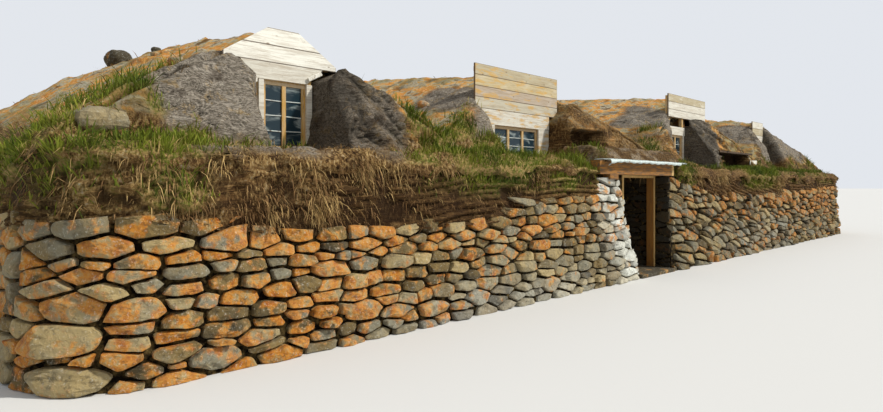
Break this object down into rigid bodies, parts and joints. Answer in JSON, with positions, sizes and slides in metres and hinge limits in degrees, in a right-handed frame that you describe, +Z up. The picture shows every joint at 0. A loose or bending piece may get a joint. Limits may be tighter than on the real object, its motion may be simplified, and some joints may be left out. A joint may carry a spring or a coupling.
{
  "type": "turf house",
  "caption": "Low turf-roofed farm building of parallel ridges with dry-stone and turf walls, boarded window gables and an open doorway under a corrugated sheet.",
  "frame": {"origin": "ground level in the middle of the doorway, on the front wall's outer line, at the underside of the threshold stone", "axes": "+X along the front, to the right as seen from outside; +Y into the building; +Z up"},
  "size_m": [21.9, 11.11, 3.86],
  "materials": {
    "rubble_stone": "rough dry-laid basalt with orange lichen",
    "turf": "rough mossy turf with dead grass",
    "weathered_boards": "weathered bare boards",
    "window_timber": "weathered oiled timber",
    "roof_timber": "dark unpainted timber",
    "door_timber": "oiled softwood",
    "corrugated_iron": "dull galvanised",
    "window_glass": "clear, dusty"
  },
  "bodies": {
    "root": {"back_stone_wall": "rubble_stone", "front_stone_wall_left": "rubble_stone", "front_stone_wall_right": "rubble_stone", "left_stone_wall": "rubble_stone", "right_stone_wall": "rubble_stone", "threshold": "rubble_stone", "back_turf_wall": "turf", "canopy_turf": "turf", "front_turf_wall_left": "turf", "front_turf_wall_right": "turf", "left_turf_wall": "turf", "right_turf_wall": "turf", "roof_turf_1_left": "turf", "roof_turf_1_right": "turf", "roof_turf_2_left": "turf", "roof_turf_2_right": "turf", "roof_turf_3_left": "turf", "roof_turf_3_right": "turf", "roof_turf_4_left": "turf", "roof_turf_4_right": "turf", "turf_cheeks_1": "turf", "turf_cheeks_2": "turf", "turf_cheeks_3": "turf", "turf_cheeks_4": "turf", "gable_boards_1": "weathered_boards", "gable_boards_2": "weathered_boards", "gable_boards_3": "weathered_boards", "gable_boards_4": "weathered_boards", "hatch_plank": "weathered_boards", "window_sash_1": "window_timber", "window_sash_2": "window_timber", "window_sash_3": "window_timber", "window_sash_4": "window_timber", "rafters": "roof_timber", "ridge_beams": "roof_timber", "valley_beams": "roof_timber", "valley_posts": "roof_timber", "passage_roof": "roof_timber", "gable_frame_1": "roof_timber", "gable_frame_2": "roof_timber", "gable_frame_3": "roof_timber", "gable_frame_4": "roof_timber", "door_frame": "door_timber", "door_lintel": "door_timber", "door_canopy": "corrugated_iron", "window_glass": "window_glass"}
  },
  "joints": []
}
